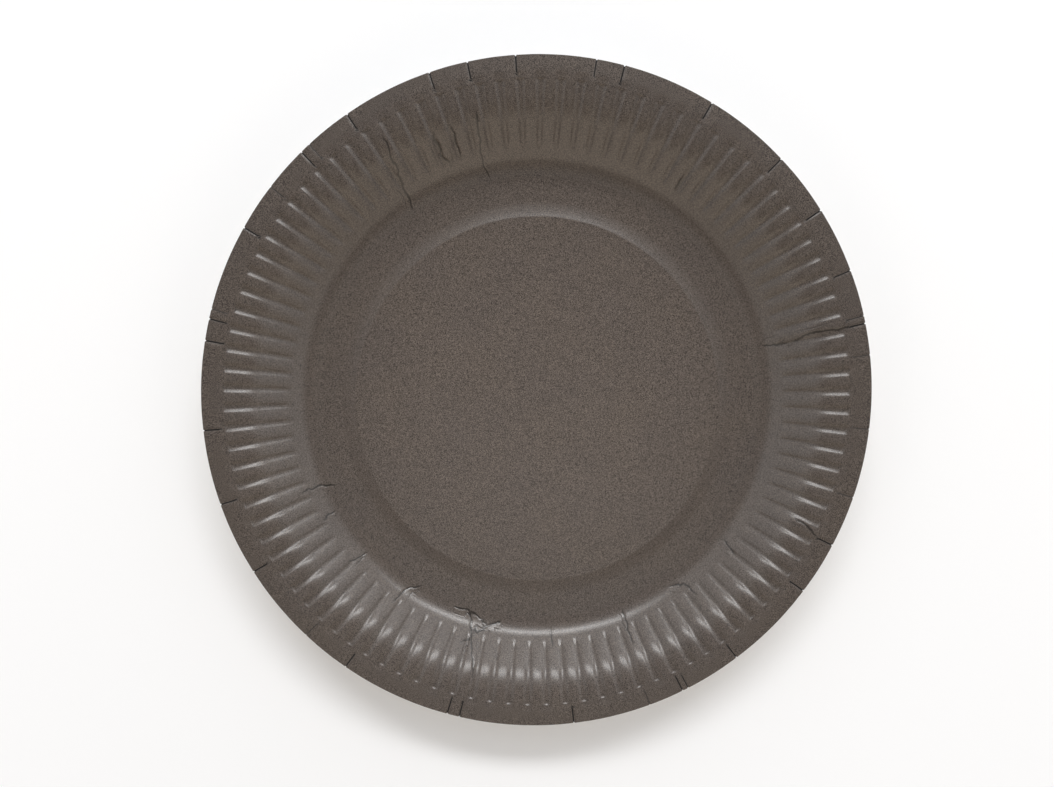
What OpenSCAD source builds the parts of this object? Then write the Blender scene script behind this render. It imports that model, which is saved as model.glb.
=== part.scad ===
// Paper plate: one round sheet of coated board, pressed between two dies.
// From the middle out: raised panel, sloping band, flat foot ring, concave corner,
// straight wall, convex shoulder and a plain lip with gather lines. Pressed flutes run
// from the wall over the shoulder up to the lip.
// Millimetres, +Z up. The foot ring stands on z = 0 and the plate axis is Z.

/* [Plate] */
// Diameter over the lip
plate_d = 230; // [216:1:244]
// Thickness of the board
board_t = 0.45; // [0.4:0.05:0.6]

/* [Lip] */
// Width of the plain lip outside the flutes
lip_w = 6.1; // [5:0.1:8]
// Width of a gather line pressed into the lip
gather_w = 0.3; // [0.2:0.05:0.5]
// Depth of a gather line
gather_depth = 0.2; // [0.1:0.05:0.3]
// Angles of the gather lines round the lip, in degrees
gather_at = [8.5, 14, 15.2, 23, 34.5, 45.5, 60, 76, 80.5, 94, 102, 108.5, 123.5, 131.5, 133.5,
             141, 149, 164, 165.5, 169.5, 184.5, 197.5, 210.5, 225, 233.5, 253.5, 256, 276.5,
             290.5, 297, 298, 308, 325, 334.5, 343.5, 355.5];

/* [Shoulder and wall] */
// Radius of the convex shoulder, seen in section
shoulder_r = 18.7; // [17:0.1:21]
// Steepest slope, where wall and shoulder meet, in degrees
wall_slope = 47; // [42:1:50]
// Width of the straight wall, seen from above
wall_run = 7.6; // [6:0.1:9]
// Radius of the concave corner at the foot of the wall
corner_r = 12; // [10:0.5:14]

/* [Base] */
// Width of the flat ring the plate stands on
foot_w = 7.4; // [4:0.1:10]
// Width of the sloping band round the panel
bevel_w = 4.8; // [3:0.2:7]
// Rise of the panel above the foot ring
panel_rise = 1; // [0.4:0.1:1.6]

/* [Flutes] */
// Number of flutes round the shoulder
flute_count = 99; // [72:1:108]
// Depth of a flute where it ends below the lip
flute_depth = 0.55; // [0.3:0.05:1.2]
// Share of the pitch that the flat crest between two flutes takes at its outer end
crest_share = 0.52; // [0.4:0.02:0.66]
// Width of plain wall below the flutes, seen from above
flute_start = 1.2; // [0.6:0.1:3]
// Slope of the shoulder where a flute is deepest, in degrees
flute_end = 4; // [3:0.5:7]
// Turn of the first flute from +X, in degrees
flute_turn = 2.5; // [0:0.1:5]

/* [Hidden] */

// Section points, in radius and height of the upper face
rim_r = plate_d / 2;
crown_r = rim_r - lip_w;
wall_out_r = crown_r - shoulder_r * sin(wall_slope);
wall_in_r = wall_out_r - wall_run;
foot_r = wall_in_r - corner_r * sin(wall_slope);
bevel_r = foot_r - foot_w;
panel_r = bevel_r - bevel_w;
foot_z = board_t;
wall_in_z = foot_z + corner_r * (1 - cos(wall_slope));
wall_out_z = wall_in_z + wall_run * tan(wall_slope);
crown_z = wall_out_z + shoulder_r * (1 - cos(wall_slope));
bevel_turn = atan2(panel_rise, bevel_w) / 2;
flute_in_r = wall_in_r + flute_start;
flute_out_r = crown_r - shoulder_r * sin(flute_end);
pitch = 360 / flute_count;

// A ring of the section is [radius, height, slope of its face, flute depth, crest share]
function corner_ring(s) =
    [foot_r + corner_r * sin(s), foot_z + corner_r * (1 - cos(s)), s, 0, 0];
function shoulder_ring(s) = [crown_r - shoulder_r * sin(s), crown_z - shoulder_r * (1 - cos(s)), s];
// A flute grows deeper and wider from its tip on the wall to its end under the lip
function flute_ring(ring) =
    let (f = sqrt(max(0, ring[0] - flute_in_r) / (flute_out_r - flute_in_r)))
    [ring[0], ring[1], ring[2], flute_depth * f, 1 - (1 - crest_share) * (0.4 + 0.6 * f)];
// The sheet bends at the panel and band edges, so the lower face meets on the half angle
base_rings = [[panel_r, foot_z + panel_rise, -bevel_turn, 0, 0],
              [bevel_r, foot_z, -bevel_turn, 0, 0],
              for (k = [0 : 3]) corner_ring(wall_slope * k / 3)];
flute_steps = 3;
rim_rings = [flute_ring([flute_in_r, wall_in_z + flute_start * tan(wall_slope), wall_slope]),
             for (k = [0 : flute_steps])
                 flute_ring(shoulder_ring(wall_slope + (flute_end - wall_slope) * k / flute_steps)),
             [crown_r, crown_z, 0, 0, crest_share],
             [rim_r, crown_z, 0, 0, crest_share]];

// A point of the sheet, o below the upper face, on a ring and at a turn angle
function on_ring(ring, o, deep, angle) =
    let (d = o + deep, r = ring[0] + d * sin(ring[2]) * (ring[2] < 0 ? 1 / cos(ring[2]) : 1))
    [r * cos(angle), r * sin(angle), ring[1] - d * (ring[2] < 0 ? 1 : cos(ring[2]))];
// Base rings have one point a flute, on its middle line
function base_points(ring, o) =
    [for (i = [0 : flute_count - 1]) on_ring(ring, o, 0, i * pitch + flute_turn)];
// Rim rings have three: the bottom of the flute, then both sides of the crest
function rim_points(ring, o) =
    [for (i = [0 : flute_count - 1], j = [0 : 2])
        let (share = j == 0 ? 0 : 0.5 + (j - 1.5) * ring[4])
        on_ring(ring, o, j == 0 ? ring[3] : 0, (i + share) * pitch + flute_turn)];
function side_points(o) = concat(
    [[0, 0, foot_z + panel_rise - o]],
    [for (ring = base_rings) each base_points(ring, o)],
    [for (ring = rim_rings) each rim_points(ring, o)]);

n = flute_count;
m = 3 * flute_count;
rim_start = 1 + len(base_rings) * n;
side_size = rim_start + len(rim_rings) * m;

// Triangles of one face of the sheet, as seen from above, then the cut edge round the lip
side_faces = concat(
    [for (i = [0 : n - 1]) [0, 1 + i, 1 + (i + 1) % n]],
    [for (k = [0 : len(base_rings) - 2], i = [0 : n - 1])
        let (a = 1 + k * n + i, b = 1 + k * n + (i + 1) % n)
        each [[a, a + n, b + n], [a, b + n, b]]],
    [for (i = [0 : n - 1])
        let (a = rim_start - n + i, b = rim_start - n + (i + 1) % n,
             c = rim_start + 3 * i, d = rim_start + (3 * i + 3) % m)
        each [[a, c, c + 1], [a, c + 1, c + 2], [a, c + 2, b], [b, c + 2, d]]],
    [for (k = [0 : len(rim_rings) - 2], i = [0 : m - 1])
        let (a = rim_start + k * m + i, b = rim_start + k * m + (i + 1) % m)
        each [[a, a + m, b + m], [a, b + m, b]]]);
edge_start = side_size - m;
edge_faces = [for (i = [0 : m - 1])
    let (a = edge_start + i, b = edge_start + (i + 1) % m)
    each [[a, a + side_size, b + side_size], [a, b + side_size, b]]];

// The pressed sheet between its upper and lower faces
module pressed_sheet() {
    polyhedron(
        points = concat(side_points(0), side_points(board_t)),
        faces = concat([for (f = side_faces) [f[0], f[2], f[1]]],
                       [for (f = side_faces) [for (v = f) v + side_size]],
                       [for (f = edge_faces) [f[0], f[2], f[1]]]));
}

module plate() {
    color([0.38, 0.35, 0.32])
    difference() {
        pressed_sheet();
        for (a = gather_at) rotate(a)
            translate([crown_r + 0.4, -gather_w / 2, crown_z - gather_depth])
                cube([lip_w + 1, gather_w, gather_depth + 1]);
    }
}

plate();
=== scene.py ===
import bisect
import math

import bmesh
import bpy
from mathutils import Matrix, Vector, noise


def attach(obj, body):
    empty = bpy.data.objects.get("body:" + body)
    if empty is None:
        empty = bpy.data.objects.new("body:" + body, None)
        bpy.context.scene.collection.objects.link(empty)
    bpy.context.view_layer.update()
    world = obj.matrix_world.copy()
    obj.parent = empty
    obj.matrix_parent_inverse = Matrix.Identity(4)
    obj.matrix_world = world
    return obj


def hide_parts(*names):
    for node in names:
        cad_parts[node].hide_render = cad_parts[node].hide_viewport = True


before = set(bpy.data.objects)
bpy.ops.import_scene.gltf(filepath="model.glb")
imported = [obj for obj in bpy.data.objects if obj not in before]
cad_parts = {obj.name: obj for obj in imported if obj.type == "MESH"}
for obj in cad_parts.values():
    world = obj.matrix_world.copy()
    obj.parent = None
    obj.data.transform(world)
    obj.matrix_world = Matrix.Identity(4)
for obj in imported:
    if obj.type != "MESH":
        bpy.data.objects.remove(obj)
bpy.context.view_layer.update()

mm = 0.001


def clamp(x):
    return min(1.0, max(0.0, x))


def smooth(x):
    x = clamp(x)
    return x * x * (3 - 2 * x)


# Section of the pressed sheet, in millimetres
plate = {
    "rim": 115.0,
    "crown": 108.9,
    "shoulder": 18.7,
    "slope": math.radians(47),
    "wallRun": 7.6,
    "corner": 12.0,
    "footWidth": 7.4,
    "bevelWidth": 4.8,
    "bevelLead": 0.25,
    "bevelSpread": 0.6,
    "bevelBow": 0.35,
    "rise": 1.0,
    "board": 0.45,
    "lipDrop": 0.08,
    "columns": 990,
}
wallOut = plate["crown"] - plate["shoulder"] * math.sin(plate["slope"])
wallIn = wallOut - plate["wallRun"]
footOut = wallIn - plate["corner"] * math.sin(plate["slope"])
bevelOut = footOut - plate["footWidth"]
panelOut = bevelOut - plate["bevelWidth"]
bevelRun = plate["bevelWidth"] + plate["bevelSpread"]
wallInZ = plate["board"] + plate["corner"] * (1 - math.cos(plate["slope"]))
wallOutZ = wallInZ + plate["wallRun"] * math.tan(plate["slope"])
crownZ = wallOutZ + plate["shoulder"] * (1 - math.cos(plate["slope"]))


# Height and slope of the upper face at a radius
def section(r):
    if r <= bevelOut + plate["bevelSpread"]:
        # a crisp edge at the panel, a soft run-out at the foot ring
        x = clamp((r - panelOut + plate["bevelLead"]) / bevelRun)
        bow = plate["bevelBow"]
        drop = bow * x * (2 - x) + (1 - bow) * x
        grade = -plate["rise"] * (1 + bow - 2 * bow * x) / bevelRun if 0 < x < 1 else 0.0
        return plate["board"] + plate["rise"] * (1 - drop), math.atan(grade)
    if r <= footOut:
        return plate["board"], 0.0
    if r <= wallIn:
        a = math.asin((r - footOut) / plate["corner"])
        return plate["board"] + plate["corner"] * (1 - math.cos(a)), a
    if r <= wallOut:
        return wallInZ + (r - wallIn) * math.tan(plate["slope"]), plate["slope"]
    if r <= plate["crown"]:
        a = math.asin((plate["crown"] - r) / plate["shoulder"])
        return crownZ - plate["shoulder"] * (1 - math.cos(a)), a
    x = (r - plate["crown"]) / (plate["rim"] - plate["crown"])
    return crownZ - plate["lipDrop"] * x * x, 0.0


# Flutes: shallow pressed valleys between flat crests, running out to a point on the wall
# and closed by a round end under the lip; widths in parts of a pitch, lengths in millimetres
flutes = {
    "count": 99,
    "turn": 2.5,
    "depth": 0.56,
    "inner": 88.7,
    "full": 105.0,
    "taper": 0.30,
    "middle": 0.155,
    "tipMiddle": 0.75,
    "flank": 0.215,
    "tipFlank": 0.15,
    "crest": 0.28,
    "crestReach": 0.3,
    "end": 106.8,
    "endFloor": 0.3,
    "endFlank": 0.75,
    "out": 109.6,
    "outFade": 1.2,
    "columnLead": 0.1,
    "columnInset": 0.22,
    "columnsFrom": 82,
    "columnsFade": 5,
    "columnsOutFade": 1.4,
}
pitch = 360 / flutes["count"]
columnsPerFlute = plate["columns"] // flutes["count"]


# How far along its length a flute is, from the tip on the wall
def fluteShare(r):
    return clamp((r - flutes["inner"]) / (flutes["full"] - flutes["inner"]))


def fluteTaper(r):
    return fluteShare(r) ** flutes["taper"]


# The flanks draw together towards the tip
def fluteMiddle(r):
    tip = flutes["tipMiddle"]
    return flutes["middle"] * (tip + (1 - tip) * fluteShare(r))


# Share of the pitch at which a column of the even spin belongs, so that columns follow the flanks
def columnShare(k, r):
    w = flutes["flank"] * max(flutes["tipFlank"], fluteTaper(r))
    low, high = fluteMiddle(r) - w / 2, fluteMiddle(r) + w / 2
    lead, inset = flutes["columnLead"] * w, flutes["columnInset"] * w
    place = [0, low - lead, low + inset, high - inset, high + lead, 0.5]
    return math.copysign(place[abs(k)], k)


def fluteDepth(r, angle):
    t = fluteTaper(r)
    if t == 0:
        return 0.0
    share = abs(((angle - flutes["turn"]) / pitch + 0.5) % 1.0 - 0.5)
    w = flutes["flank"] * t
    middle = fluteMiddle(r)
    across = (share - middle + w / 2) / w
    along = (r - flutes["end"] - flutes["endFloor"]) / flutes["endFlank"]
    if across > 0 and along > 0:
        reach = math.hypot(across, along)
    else:
        reach = max(across, along)
    # a straight flank, and a crest that is rounded a little
    valley = flutes["depth"] * (1 - clamp(reach)) * t
    crest = flutes["crest"] * t * (1 - clamp((share - middle) / flutes["crestReach"])) ** 2
    return (valley + crest) * smooth((flutes["out"] - r) / flutes["outFade"])


# Gathers: hairline folds across the lip, as plate angle in degrees, the side that lies on top,
# and strength
gathers = [
    (8.5, 1, 0.5), (13.9, 1, 1.0), (15.2, -1, 0.6), (23.2, 1, 0.8), (34.5, -1, 1.0),
    (45.3, 1, 0.9), (60.1, 1, 1.0), (75.8, -1, 1.0), (80.5, 1, 0.8), (93.9, 1, 1.0),
    (101.9, -1, 1.0), (108.4, 1, 0.9), (123.6, -1, 1.0), (131.6, 1, 0.5), (133.4, 1, 0.9),
    (141.1, -1, 0.5), (149.2, 1, 1.0), (163.9, 1, 0.5), (165.6, -1, 0.9), (169.3, 1, 1.0),
    (184.6, -1, 1.0), (197.6, 1, 0.9), (210.5, -1, 1.0), (224.8, 1, 0.5), (233.7, 1, 0.9),
    (253.6, -1, 1.0), (255.8, 1, 0.9), (276.4, 1, 1.0), (290.4, -1, 0.5), (296.8, 1, 0.9),
    (297.9, -1, 0.7), (308.1, 1, 0.9), (324.9, -1, 1.0), (334.4, 1, 1.0), (343.5, -1, 0.5),
    (355.7, 1, 0.5),
]
gatherAngles = [g[0] for g in gathers]
fold = {
    "half": 0.19,
    "closeFrom": 107.4,
    "closeFade": 1.8,
    "start": 107.6,
    "fade": 1.6,
    "reach": 5,
    "slitHalf": 0.38,
    "slitDepth": 0.30,
    "swell": 0.05,
    "swellWidth": 1.2,
    "nick": 0.35,
    "nickFrom": 113,
    "nickFade": 2,
}

# Creases: bent hairlines in wall and corner, as (plate angle, radius) along each
creases = [
    [(102.2, 99.2), (102.6, 93.6), (103.0, 87.9), (102.5, 82.8)],
    [(107.5, 96.9), (107.5, 93.9), (107.4, 90.0)],
    [(120.3, 101.9), (120.9, 96.4), (121.7, 90.1), (122.9, 82.9)],
    [(111.4, 96.8), (111.3, 91.6), (110.5, 89.1)],
    [(13.8, 108.6), (14.4, 98.6), (14.1, 94.5), (13.8, 92.4)],
    [(13.3, 90.5), (14.0, 88.0), (14.1, 85.2)],
    [(200.8, 90.2), (200.8, 85.8), (201.7, 81.4)],
    [(208.4, 88.3), (208.1, 84.8)],
    [(256.5, 99.9), (254.2, 90.5), (253.3, 85.6), (252.1, 82.6)],
    [(247.9, 82.4), (251.4, 82.1), (255.8, 83.7)],
    [(252.6, 91.6), (255.4, 88.2), (257.9, 85.4), (260.2, 83.2)],
    [(292.3, 84.8), (291.9, 89.6), (291.8, 93.5)],
    [(273.3, 86.0), (273.4, 89.9)],
    [(234.0, 89.3), (234.6, 85.4), (237.1, 81.3)],
    [(306.3, 85.0), (309.4, 87.1), (309.7, 90.1)],
    [(323.7, 86.4), (323.2, 88.5), (322.7, 90.0)],
    [(336.1, 100.7), (334.9, 107.7)],
    [(220.2, 89.0), (221.0, 84.9)],
    [(57.4, 89.5), (57.5, 92.3)],
]
creaseSpread = {"reach": 2.6, "box": 12, "endFade": 0.9, "sideFade": 1.2}
creaseRuns = []
for path in creases:
    turns = [(math.radians(a), r) for a, r in path]
    corners = [Vector((r * math.cos(a), r * math.sin(a))) for a, r in turns]
    for start, end in zip(corners, corners[1:]):
        creaseRuns.append((start, end - start, (end - start).length))


# Signed distance in plan from the nearest crease, and the share of the crease that is there
def creaseAt(x, y):
    reach, box = creaseSpread["reach"], creaseSpread["box"]
    nearest, side, over = reach, reach, 0.0
    for start, run, size in creaseRuns:
        dx, dy = x - start.x, y - start.y
        if abs(dx) < box and abs(dy) < box:
            along = (dx * run.x + dy * run.y) / size
            across = (dy * run.x - dx * run.y) / size
            past = max(0.0, -along, along - size)
            if math.hypot(across, past) < nearest:
                nearest, side, over = math.hypot(across, past), across, past
    there = smooth(1 - over / creaseSpread["endFade"])
    return side, there * smooth((reach - nearest) / creaseSpread["sideFade"])


# Columns next to a gather close in on it, so that the fold stays a hairline
step = 360 / plate["columns"]
midColumn = round(flutes["turn"] / step)
columnShift = {}
for angle in gatherAngles:
    near = round(angle / step)
    for k in (-1, 0, 1):
        columnShift[(near + k) % plate["columns"]] = angle + k * fold["half"] - (near + k) * step


# Height that the nearest gather adds, and how much painted shade its slit gets
def gatherHeight(r, angle):
    k = bisect.bisect(gatherAngles, angle)
    best = None
    for j in (k - 1, k):
        g = gathers[j % len(gathers)]
        off = (angle - g[0] + 180) % 360 - 180
        if best is None or abs(off) < abs(best[0]):
            best = (off, g[1], g[2])
    off, side, size = best
    s = math.radians(off) * r
    fade = smooth((r - fold["start"]) / fold["fade"])
    if abs(s) > fold["reach"] or fade == 0:
        return 0.0, 0.0
    slit = max(0.0, 1 - abs(s) / fold["slitHalf"])
    high = fold["swell"] if s * side > 0 else -fold["swell"]
    swell = high * math.exp(-((s / fold["swellWidth"]) ** 2)) - fold["swell"]
    return fade * size * (swell * (1 - slit) - fold["slitDepth"] * slit), fade * size * slit


def ripple(p, scale, seed):
    return noise.noise(Vector((p[0] * scale + seed, p[1] * scale - seed, seed)))


# Unevenness of the sheet: slow waves in the rim, finer ones in wall and corner, in millimetres
waves = {
    "height": 0.05,
    "rimScale": 0.035,
    "rimSeed": 3.1,
    "rimFrom": 78,
    "rimFade": 6,
    "wallScale": 0.12,
    "wallSeed": 7.7,
    "wallFrom": 76,
    "wallFade": 4,
    "wallTo": 96,
    "wallOutFade": 6,
}
# The real sheet is a little out of round, and its rim is not quite level
warp = {"from": 84, "fade": 30, "shrink": 0.0030, "shrinkTurn": 33,
        "drop": 0.10, "sway": 0.12, "swayTurn": 70}


# From 0 to 2, twice round the plate
def twice(angle, turn):
    return 1 - math.cos(math.radians(2 * (angle - turn)))


# Angle at which a point of the even spin belongs: columns follow the flutes and the gathers
def settle(r, angle):
    column = round(angle / step) % plate["columns"]
    half = columnsPerFlute // 2
    k = (column - midColumn + half) % columnsPerFlute - half
    onFlute = (smooth((r - flutes["columnsFrom"]) / flutes["columnsFade"])
               * smooth((flutes["out"] - r) / flutes["columnsOutFade"]))
    onGather = smooth((r - fold["closeFrom"]) / fold["closeFade"])
    even = angle + columnShift.get(column, 0.0) * onGather
    close = angle - (midColumn + k) * step + flutes["turn"] + columnShare(k, r) * pitch
    return even + (close - even) * onFlute


# Where a point of the flat spin ends up, o below the upper face
def pressed(co, o):
    r = math.hypot(co.x, co.y)
    angle = settle(r, math.degrees(math.atan2(co.y, co.x)) % 360)
    a = math.radians(angle)
    z, slope = section(r)
    high, dark = gatherHeight(r, angle % 360)
    flat = (math.cos(a) * r, math.sin(a) * r)
    high += (waves["height"] * ripple(flat, waves["rimScale"], waves["rimSeed"])
             * smooth((r - waves["rimFrom"]) / waves["rimFade"]))
    high += (waves["height"] * ripple(flat, waves["wallScale"], waves["wallSeed"])
             * smooth((r - waves["wallFrom"]) / waves["wallFade"])
             * smooth((waves["wallTo"] - r) / waves["wallOutFade"]))
    push = high - fluteDepth(r, angle) - o
    rr = r - push * math.sin(slope)
    zz = z + push * math.cos(slope)
    grow = smooth((r - warp["from"]) / warp["fade"])
    rr *= 1 - warp["shrink"] * grow * twice(angle, warp["shrinkTurn"])
    zz -= grow * (warp["drop"] + warp["sway"] * twice(angle, warp["swayTurn"]))
    # a gather nicks the cut edge
    rr -= fold["nick"] * dark * smooth((r - fold["nickFrom"]) / fold["nickFade"])
    zz = max(0.0, zz)
    return Vector((rr * math.cos(a) * mm, rr * math.sin(a) * mm, zz * mm)), dark, creaseAt(*flat)


# Radii of the rings, closest where the section bends and where the flutes end
rings = [
    12, 30, 46, 58, 64.0, 65.9, 66.35, 66.75, 67.3, 68.3, 69.5, 70.7, 71.7, 72.5, 75.5, 78.5,
    79.9, 81.3, 82.7, 84.1, 85.5, 86.7, 87.8, 88.6, 89.4, 90.4, 91.6, 93.0, 94.4, 95.6, 97.0,
    98.6, 100.4, 102.2, 104.0, 105.4, 106.4, 107.0, 107.25, 107.5, 107.75, 108.0, 108.3, 108.9,
    109.6, 110.6, 112.2, 114.0, 115.0,
]
layerNames = ("fold", "creaseSide", "creaseShare")
bm = bmesh.new()
for name in layerNames:
    bm.verts.layers.float.new(name)
foldLayer, sideLayer, shareLayer = (bm.verts.layers.float[name] for name in layerNames)
line = [bm.verts.new((r, 0, 0)) for r in rings]
edges = [bm.edges.new(pair) for pair in zip(line, line[1:])]
bmesh.ops.spin(bm, geom=line + edges, axis=(0, 0, 1), cent=(0, 0, 0), angle=2 * math.pi,
               steps=plate["columns"], use_merge=True)
hub = [e for e in bm.edges if e.is_boundary and e.verts[0].co.length < rings[0] + 1]
bmesh.ops.contextual_create(bm, geom=hub)
bmesh.ops.recalc_face_normals(bm, faces=bm.faces)
if bm.faces[0].normal.z < 0:
    bmesh.ops.reverse_faces(bm, faces=bm.faces)
upper = list(bm.verts)
copied = bmesh.ops.duplicate(bm, geom=bm.verts[:] + bm.edges[:] + bm.faces[:])["geom"]
lower = [g for g in copied if isinstance(g, bmesh.types.BMVert)]
bmesh.ops.reverse_faces(bm, faces=[g for g in copied if isinstance(g, bmesh.types.BMFace)])
for f in bm.faces:
    f.material_index = 0 if f.normal.z > 0 else 1
rim = [e for e in bm.edges if e.is_boundary]
for e in rim:
    e.smooth = False
for f in bmesh.ops.bridge_loops(bm, edges=rim)["faces"]:
    f.material_index = 2
for verts, below in ((upper, 0.0), (lower, plate["board"])):
    for v in verts:
        v.co, v[foldLayer], (v[sideLayer], v[shareLayer]) = pressed(v.co, below)
for f in bm.faces:
    f.smooth = True
bm.normal_update()
print("sheet", len(bm.verts), "vertices", len(bm.faces), "faces")

mesh = bpy.data.meshes.new("plateSheet")
bm.to_mesh(mesh)
bm.free()
sheet = bpy.data.objects.new("plateSheet", mesh)
bpy.context.collection.objects.link(sheet)


def newMaterial(name):
    mat = bpy.data.materials.new(name)
    mat.use_nodes = True
    tree = mat.node_tree
    coord = tree.nodes.new("ShaderNodeTexCoord").outputs["Object"]
    return mat, tree, tree.nodes["Principled BSDF"], coord


# Links a socket to another, or sets it to a number, a vector or a colour
def feed(tree, socket, value):
    if isinstance(value, bpy.types.NodeSocket):
        tree.links.new(value, socket)
    else:
        socket.default_value = (*value, 1) if socket.type == "RGBA" else value


def addNoise(tree, coord, scale, detail, rough=0.5):
    tex = tree.nodes.new("ShaderNodeTexNoise")
    feed(tree, tex.inputs["Scale"], scale)
    feed(tree, tex.inputs["Detail"], detail)
    feed(tree, tex.inputs["Roughness"], rough)
    feed(tree, tex.inputs["Vector"], coord)
    return tex.outputs["Fac"]


def addRamp(tree, fac, *stops):
    ramp = tree.nodes.new("ShaderNodeValToRGB")
    for element, (position, colour) in zip(ramp.color_ramp.elements, stops):
        element.position = position
        element.color = (*colour, 1)
    feed(tree, ramp.inputs["Fac"], fac)
    return ramp.outputs["Color"]


def addMix(tree, kind, fac, a, b):
    mix = tree.nodes.new("ShaderNodeMix")
    mix.data_type = "RGBA"
    mix.blend_type = kind
    feed(tree, mix.inputs["Factor"], fac)
    for value, name in ((a, "A"), (b, "B")):
        feed(tree, [s for s in mix.inputs if s.name == name and s.type == "RGBA"][0], value)
    return [s for s in mix.outputs if s.type == "RGBA"][0]


def addBump(tree, height, strength, distance, under=None):
    bump = tree.nodes.new("ShaderNodeBump")
    feed(tree, bump.inputs["Strength"], strength)
    feed(tree, bump.inputs["Distance"], distance)
    feed(tree, bump.inputs["Height"], height)
    if under:
        feed(tree, bump.inputs["Normal"], under)
    return bump.outputs["Normal"]


def addMath(tree, kind, a, b=0):
    node = tree.nodes.new("ShaderNodeMath")
    node.operation = kind
    feed(tree, node.inputs[0], a)
    feed(tree, node.inputs[1], b)
    return node.outputs[0]


def addVector(tree, kind, a, b=(0, 0, 0)):
    node = tree.nodes.new("ShaderNodeVectorMath")
    node.operation = kind
    feed(tree, node.inputs[0], a)
    feed(tree, node.inputs[1], b)
    return node.outputs["Value" if kind in ("DOT_PRODUCT", "LENGTH") else "Vector"]


def addAttribute(tree, name):
    node = tree.nodes.new("ShaderNodeAttribute")
    node.attribute_name = name
    return node.outputs["Fac"]


# Smooth step from one pair of values to another
def addRange(tree, value, low, high, toLow, toHigh):
    node = tree.nodes.new("ShaderNodeMapRange")
    node.interpolation_type = "SMOOTHSTEP"
    feed(tree, node.inputs["Value"], value)
    feed(tree, node.inputs["From Min"], low)
    feed(tree, node.inputs["From Max"], high)
    feed(tree, node.inputs["To Min"], toLow)
    feed(tree, node.inputs["To Max"], toHigh)
    return node.outputs["Result"]


# Printed coating: taupe with a fine speckle, faint cloudiness and a satin sheen, with painted shade
# in gather slits, along crease lines and towards the lip; each range is (from low, from high, to
# low, to high)
coating = {
    "speckle": ((0.40, (0.032, 0.026, 0.023)), (0.60, (0.178, 0.147, 0.127))),
    "cloud": ((0.3, (0.94, 0.94, 0.95)), (0.7, (1.0, 0.99, 0.97))),
    "slitShadeColour": (0.004, 0.003, 0.003),
    "foldShare": (0.0, 0.7, 0.0, 1.0),
    "creaseShadeColour": (0.020, 0.016, 0.013),
    "creaseWaver": (0.25, 0.75, -0.45, 0.45),
    "creaseLine": (0.12, 0.46, 0.9, 0.0),
    "creaseHeight": (0.0, 0.9, -1.0, 0.0),
    "rimShade": (0.035, 0.125, 1.09, 0.78),
    "foldRoughness": (0.0, 0.6, 0.2, 0.95),
    "roughness": (0.090, 0.100, 0.22, 0.26),
}
mat, tree, shader, coord = newMaterial("coatedBoard")
grain = addNoise(tree, coord, 5200, 1)
gatherSlit = addAttribute(tree, "fold")
colour = addRamp(tree, grain, *coating["speckle"])
cloudy = addRamp(tree, addNoise(tree, coord, 45, 3), *coating["cloud"])
colour = addMix(tree, "MULTIPLY", 1.0, colour, cloudy)
# painted shade: near-black in the slit of a gather, where the folded layers leave a gap
slitShadeMix = addRange(tree, gatherSlit, *coating["foldShare"])
colour = addMix(tree, "MIX", slitShadeMix, colour, coating["slitShadeColour"])
# the creases waver a little
waver = addRange(tree, addNoise(tree, coord, 260, 2), *coating["creaseWaver"])
side = addMath(tree, "ADD", addAttribute(tree, "creaseSide"), waver)
gap = addMath(tree, "ABSOLUTE", side)
share = addAttribute(tree, "creaseShare")
hairline = addMath(tree, "MULTIPLY", share, addRange(tree, gap, *coating["creaseLine"]))
# painted shade along the crease lines
colour = addMix(tree, "MIX", hairline, colour, coating["creaseShadeColour"])
# painted shade: the colour darkens from the panel out to the lip
radius = addVector(tree, "LENGTH", addVector(tree, "MULTIPLY", coord, (1, 1, 0)))
colour = addMix(tree, "MULTIPLY", 1.0, colour, addRange(tree, radius, *coating["rimShade"]))
feed(tree, shader.inputs["Base Color"], colour)
feed(tree, shader.inputs["Specular IOR Level"], 0.5)
# satin, a little duller on the shoulder, and dull where the coating broke in a gather
dull = addRange(tree, gatherSlit, *coating["foldRoughness"])
satin = addRange(tree, radius, *coating["roughness"])
feed(tree, shader.inputs["Roughness"], addMath(tree, "MAXIMUM", dull, satin))
crease = addMath(tree, "MULTIPLY", share, addRange(tree, gap, *coating["creaseHeight"]))
speckled = addBump(tree, grain, 0.24, 0.0001)
feed(tree, shader.inputs["Normal"], addBump(tree, crease, 0.6, 0.0002, speckled))
mesh.materials.append(mat)

# Plain board on the underside, off-white with short fibres
underside = {"fibre": ((0.3, (0.62, 0.58, 0.52)), (0.7, (0.74, 0.71, 0.65))),
             "roughness": 0.85, "specular": 0.3}
mat, tree, shader, coord = newMaterial("plainBoard")
fibre = addNoise(tree, coord, 700, 5, 0.7)
feed(tree, shader.inputs["Base Color"], addRamp(tree, fibre, *underside["fibre"]))
feed(tree, shader.inputs["Roughness"], underside["roughness"])
feed(tree, shader.inputs["Specular IOR Level"], underside["specular"])
feed(tree, shader.inputs["Normal"], addBump(tree, fibre, 0.25, 0.0001))
mesh.materials.append(mat)

# Cut edge: bare board
cut = {"fibre": ((0.3, (0.40, 0.35, 0.31)), (0.7, (0.58, 0.53, 0.48))), "roughness": 0.9}
mat, tree, shader, coord = newMaterial("cutEdge")
fibre = addNoise(tree, coord, 900, 4, 0.7)
feed(tree, shader.inputs["Base Color"], addRamp(tree, fibre, *cut["fibre"]))
feed(tree, shader.inputs["Roughness"], cut["roughness"])
mesh.materials.append(mat)

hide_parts("plate")
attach(sheet, "root")
print("plate dressed")

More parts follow.
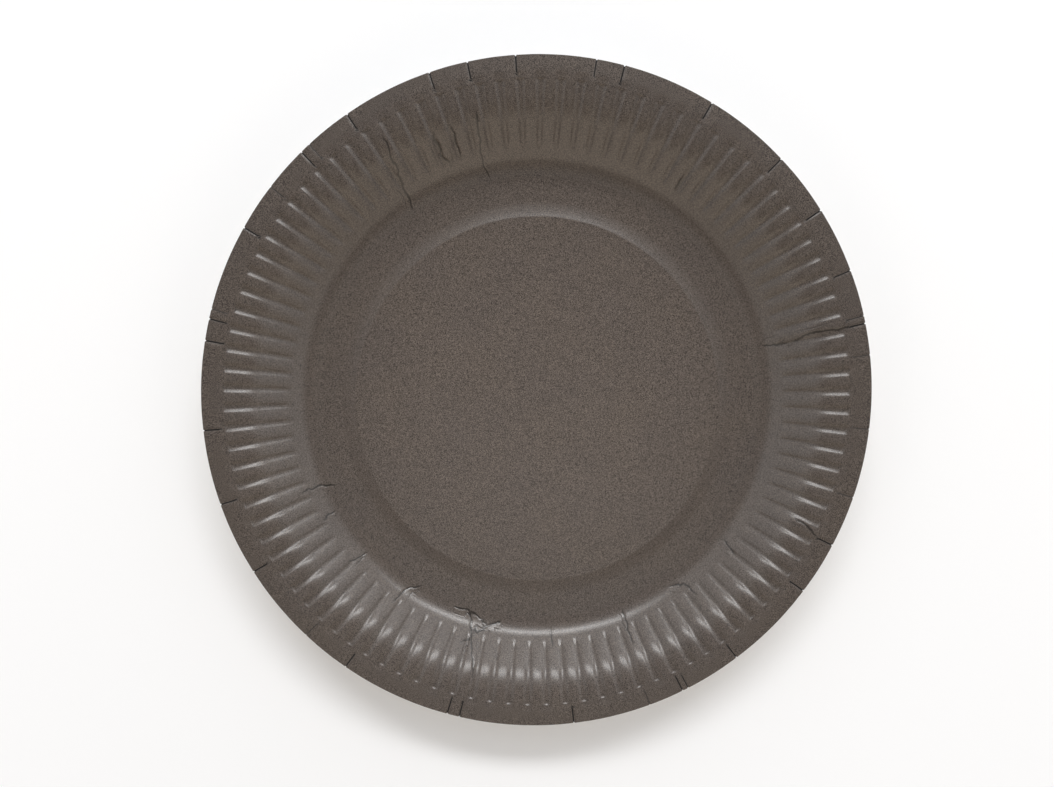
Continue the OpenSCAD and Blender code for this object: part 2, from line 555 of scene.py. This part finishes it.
# Floor, just under the foot ring
ground = {"size": 4, "z": -0.0002, "colour": (0.94, 0.95, 0.97), "roughness": 0.9,
          "specular": 0.2}
floorMesh = bpy.data.meshes.new("floor")
bm = bmesh.new()
bmesh.ops.create_grid(bm, x_segments=1, y_segments=1, size=ground["size"])
bm.to_mesh(floorMesh)
bm.free()
floor = bpy.data.objects.new("floor", floorMesh)
floor.location.z = ground["z"]
bpy.context.collection.objects.link(floor)
mat, tree, shader, coord = newMaterial("paleFloor")
feed(tree, shader.inputs["Base Color"], ground["colour"])
feed(tree, shader.inputs["Roughness"], ground["roughness"])
feed(tree, shader.inputs["Specular IOR Level"], ground["specular"])
floorMesh.materials.append(mat)
print("floor laid")

# Key light: a window-like panel beyond the top of the picture
key = {"azimuth": math.radians(85), "elevation": math.radians(38), "distance": 3.0,
       "size": (2.8, 0.46), "energy": 58, "target": (0, 0, 0.01)}
keyData = bpy.data.lights.new("key", "AREA")
keyData.shape = "RECTANGLE"
keyData.size, keyData.size_y = key["size"]
keyData.energy = key["energy"]
keyLight = bpy.data.objects.new("key", keyData)
az, el = key["azimuth"], key["elevation"]
toKey = Vector((math.cos(az) * math.cos(el), math.sin(az) * math.cos(el), math.sin(el)))
keyLight.location = toKey * key["distance"]
bpy.context.collection.objects.link(keyLight)
aim = Vector(key["target"]) - keyLight.location
keyLight.rotation_euler = aim.to_track_quat("-Z", "Y").to_euler()

# Room: a soft level with a low bright window strip, dark overhead where the photographer
# stands, and a warm glow in front; each is a direction and a range of its cosine
room = {
    "level": 1.08,
    "window": ((0.4, 0.916, 0.0), 0.66, 0.97, 0.0, 1.0),
    "strip": ((0.0, 0.0, 1.0), 0.09, 0.23, 5.2, 0.0),
    "stand": ((0.0, -0.17, 0.985), 0.574, 0.788, 0.0, 0.86),
    "front": ((0.0, -0.97, 0.24), 0.72, 0.92, 0.0, 0.42),
    "ceiling": ((0.0, -0.342, 0.94), 0.9135, 0.985, 0.0, 0.42),
    "warm": ((0.0, -1.0, 0.0), -0.2, 0.9, 0.0, 1.0),
    "coolColour": (0.98, 0.99, 1.0),
    "warmColour": (1.0, 0.88, 0.74),
}
world = bpy.data.worlds.new("room")
bpy.context.scene.world = world
world.use_nodes = True
tree = world.node_tree
background = tree.nodes["Background"]
view = tree.nodes.new("ShaderNodeTexCoord").outputs["Generated"]
glow = {}
for name in ("window", "strip", "stand", "front", "ceiling", "warm"):
    toward, *span = room[name]
    glow[name] = addRange(tree, addVector(tree, "DOT_PRODUCT", view, toward), *span)
level = addMath(tree, "MULTIPLY", glow["window"], glow["strip"])
for kind, part in (("ADD", room["level"]), ("ADD", glow["front"]), ("ADD", glow["ceiling"]),
                   ("SUBTRACT", glow["stand"])):
    level = addMath(tree, kind, level, part)
feed(tree, background.inputs["Strength"], level)
tint = addMix(tree, "MIX", glow["warm"], room["coolColour"], room["warmColour"])
feed(tree, background.inputs["Color"], tint)
print("light set")

# Camera: close above the plate, tipped a little; focal length and shift in pixels of the photo
eye = {"width": 1054, "focal": 700.6, "shift": (-10, 55), "sensor": 36, "clip": 0.01,
       "x": -0.0042, "y": 0.0063, "above": 0.240, "tip": -0.0897, "roll": -0.0151}
cameraData = bpy.data.cameras.new("camera")
cameraData.sensor_width = eye["sensor"]
cameraData.lens = eye["focal"] * eye["sensor"] / eye["width"]
cameraData.shift_x = eye["shift"][0] / eye["width"]
cameraData.shift_y = eye["shift"][1] / eye["width"]
cameraData.clip_start = eye["clip"]
camera = bpy.data.objects.new("camera", cameraData)
bpy.context.collection.objects.link(camera)
camera.matrix_world = (Matrix.Translation((eye["x"], eye["y"], crownZ * mm + eye["above"]))
                       @ Matrix.Rotation(eye["tip"], 4, "X") @ Matrix.Rotation(eye["roll"], 4, "Y"))
bpy.context.scene.camera = camera
bpy.context.scene.view_settings.view_transform = "Standard"
print("camera set")
